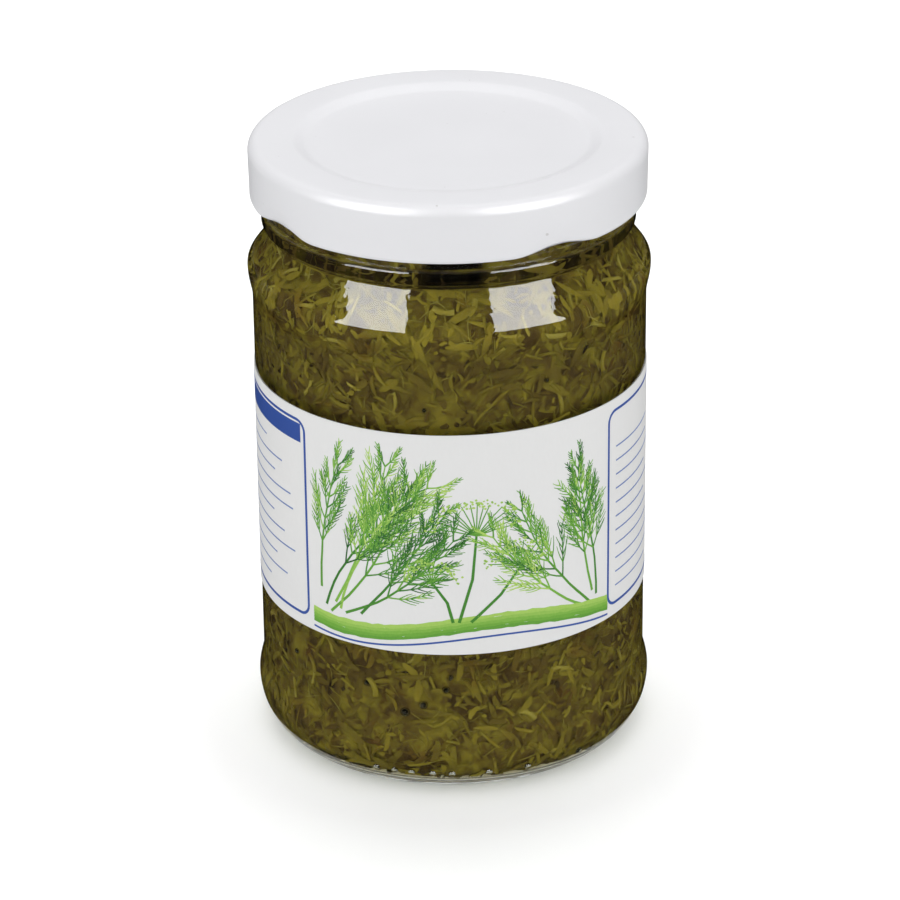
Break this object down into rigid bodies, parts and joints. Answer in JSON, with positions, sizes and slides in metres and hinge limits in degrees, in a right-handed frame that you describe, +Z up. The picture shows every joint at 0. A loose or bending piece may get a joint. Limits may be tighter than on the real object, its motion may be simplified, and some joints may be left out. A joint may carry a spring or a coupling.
{
  "type": "jar of chopped dill in brine",
  "caption": "Small round glass jar of chopped dill in brine, with a wrap-round paper label and a white twist-off lid that turns and rises off its thread.",
  "frame": {"origin": "centre of the flat ring that the jar stands on", "axes": "+Z up along the jar's axis; -Y is the front of the label"},
  "size_m": [0.0684, 0.0684, 0.1072],
  "materials": {
    "clear_glass": "clear, smooth, slightly wavy moulded glass",
    "label_paper": "coated white paper with a satin print",
    "brine": "clear yellow-green liquid",
    "chopped_dill": "wet, dark olive shreds and stems",
    "sealing_compound": "soft off-white compound",
    "white_enamel": "glossy white enamel on tinplate"
  },
  "bodies": {
    "jar": {"glass_jar": "clear_glass", "label": "label_paper", "brine": "brine", "chopped_dill": "chopped_dill"},
    "seal": {"sealing_ring": "sealing_compound"},
    "lid": {"lid": "white_enamel"}
  },
  "joints": [
    {"name": "lid_rise", "type": "slide", "parent": "jar", "child": "seal", "axis": [0, 0, 1], "range_m": [0, 0.00121]},
    {"name": "lid_turn", "type": "hinge", "parent": "seal", "child": "lid", "pos_m": [0, 0, 0.1072], "axis": [0, 0, 1], "range_deg": [0, 67.5]}
  ],
  "couplings": [
    {"joint": "lid_rise", "follows": "lid_turn", "m_per_rad": 0.0010186}
  ]
}
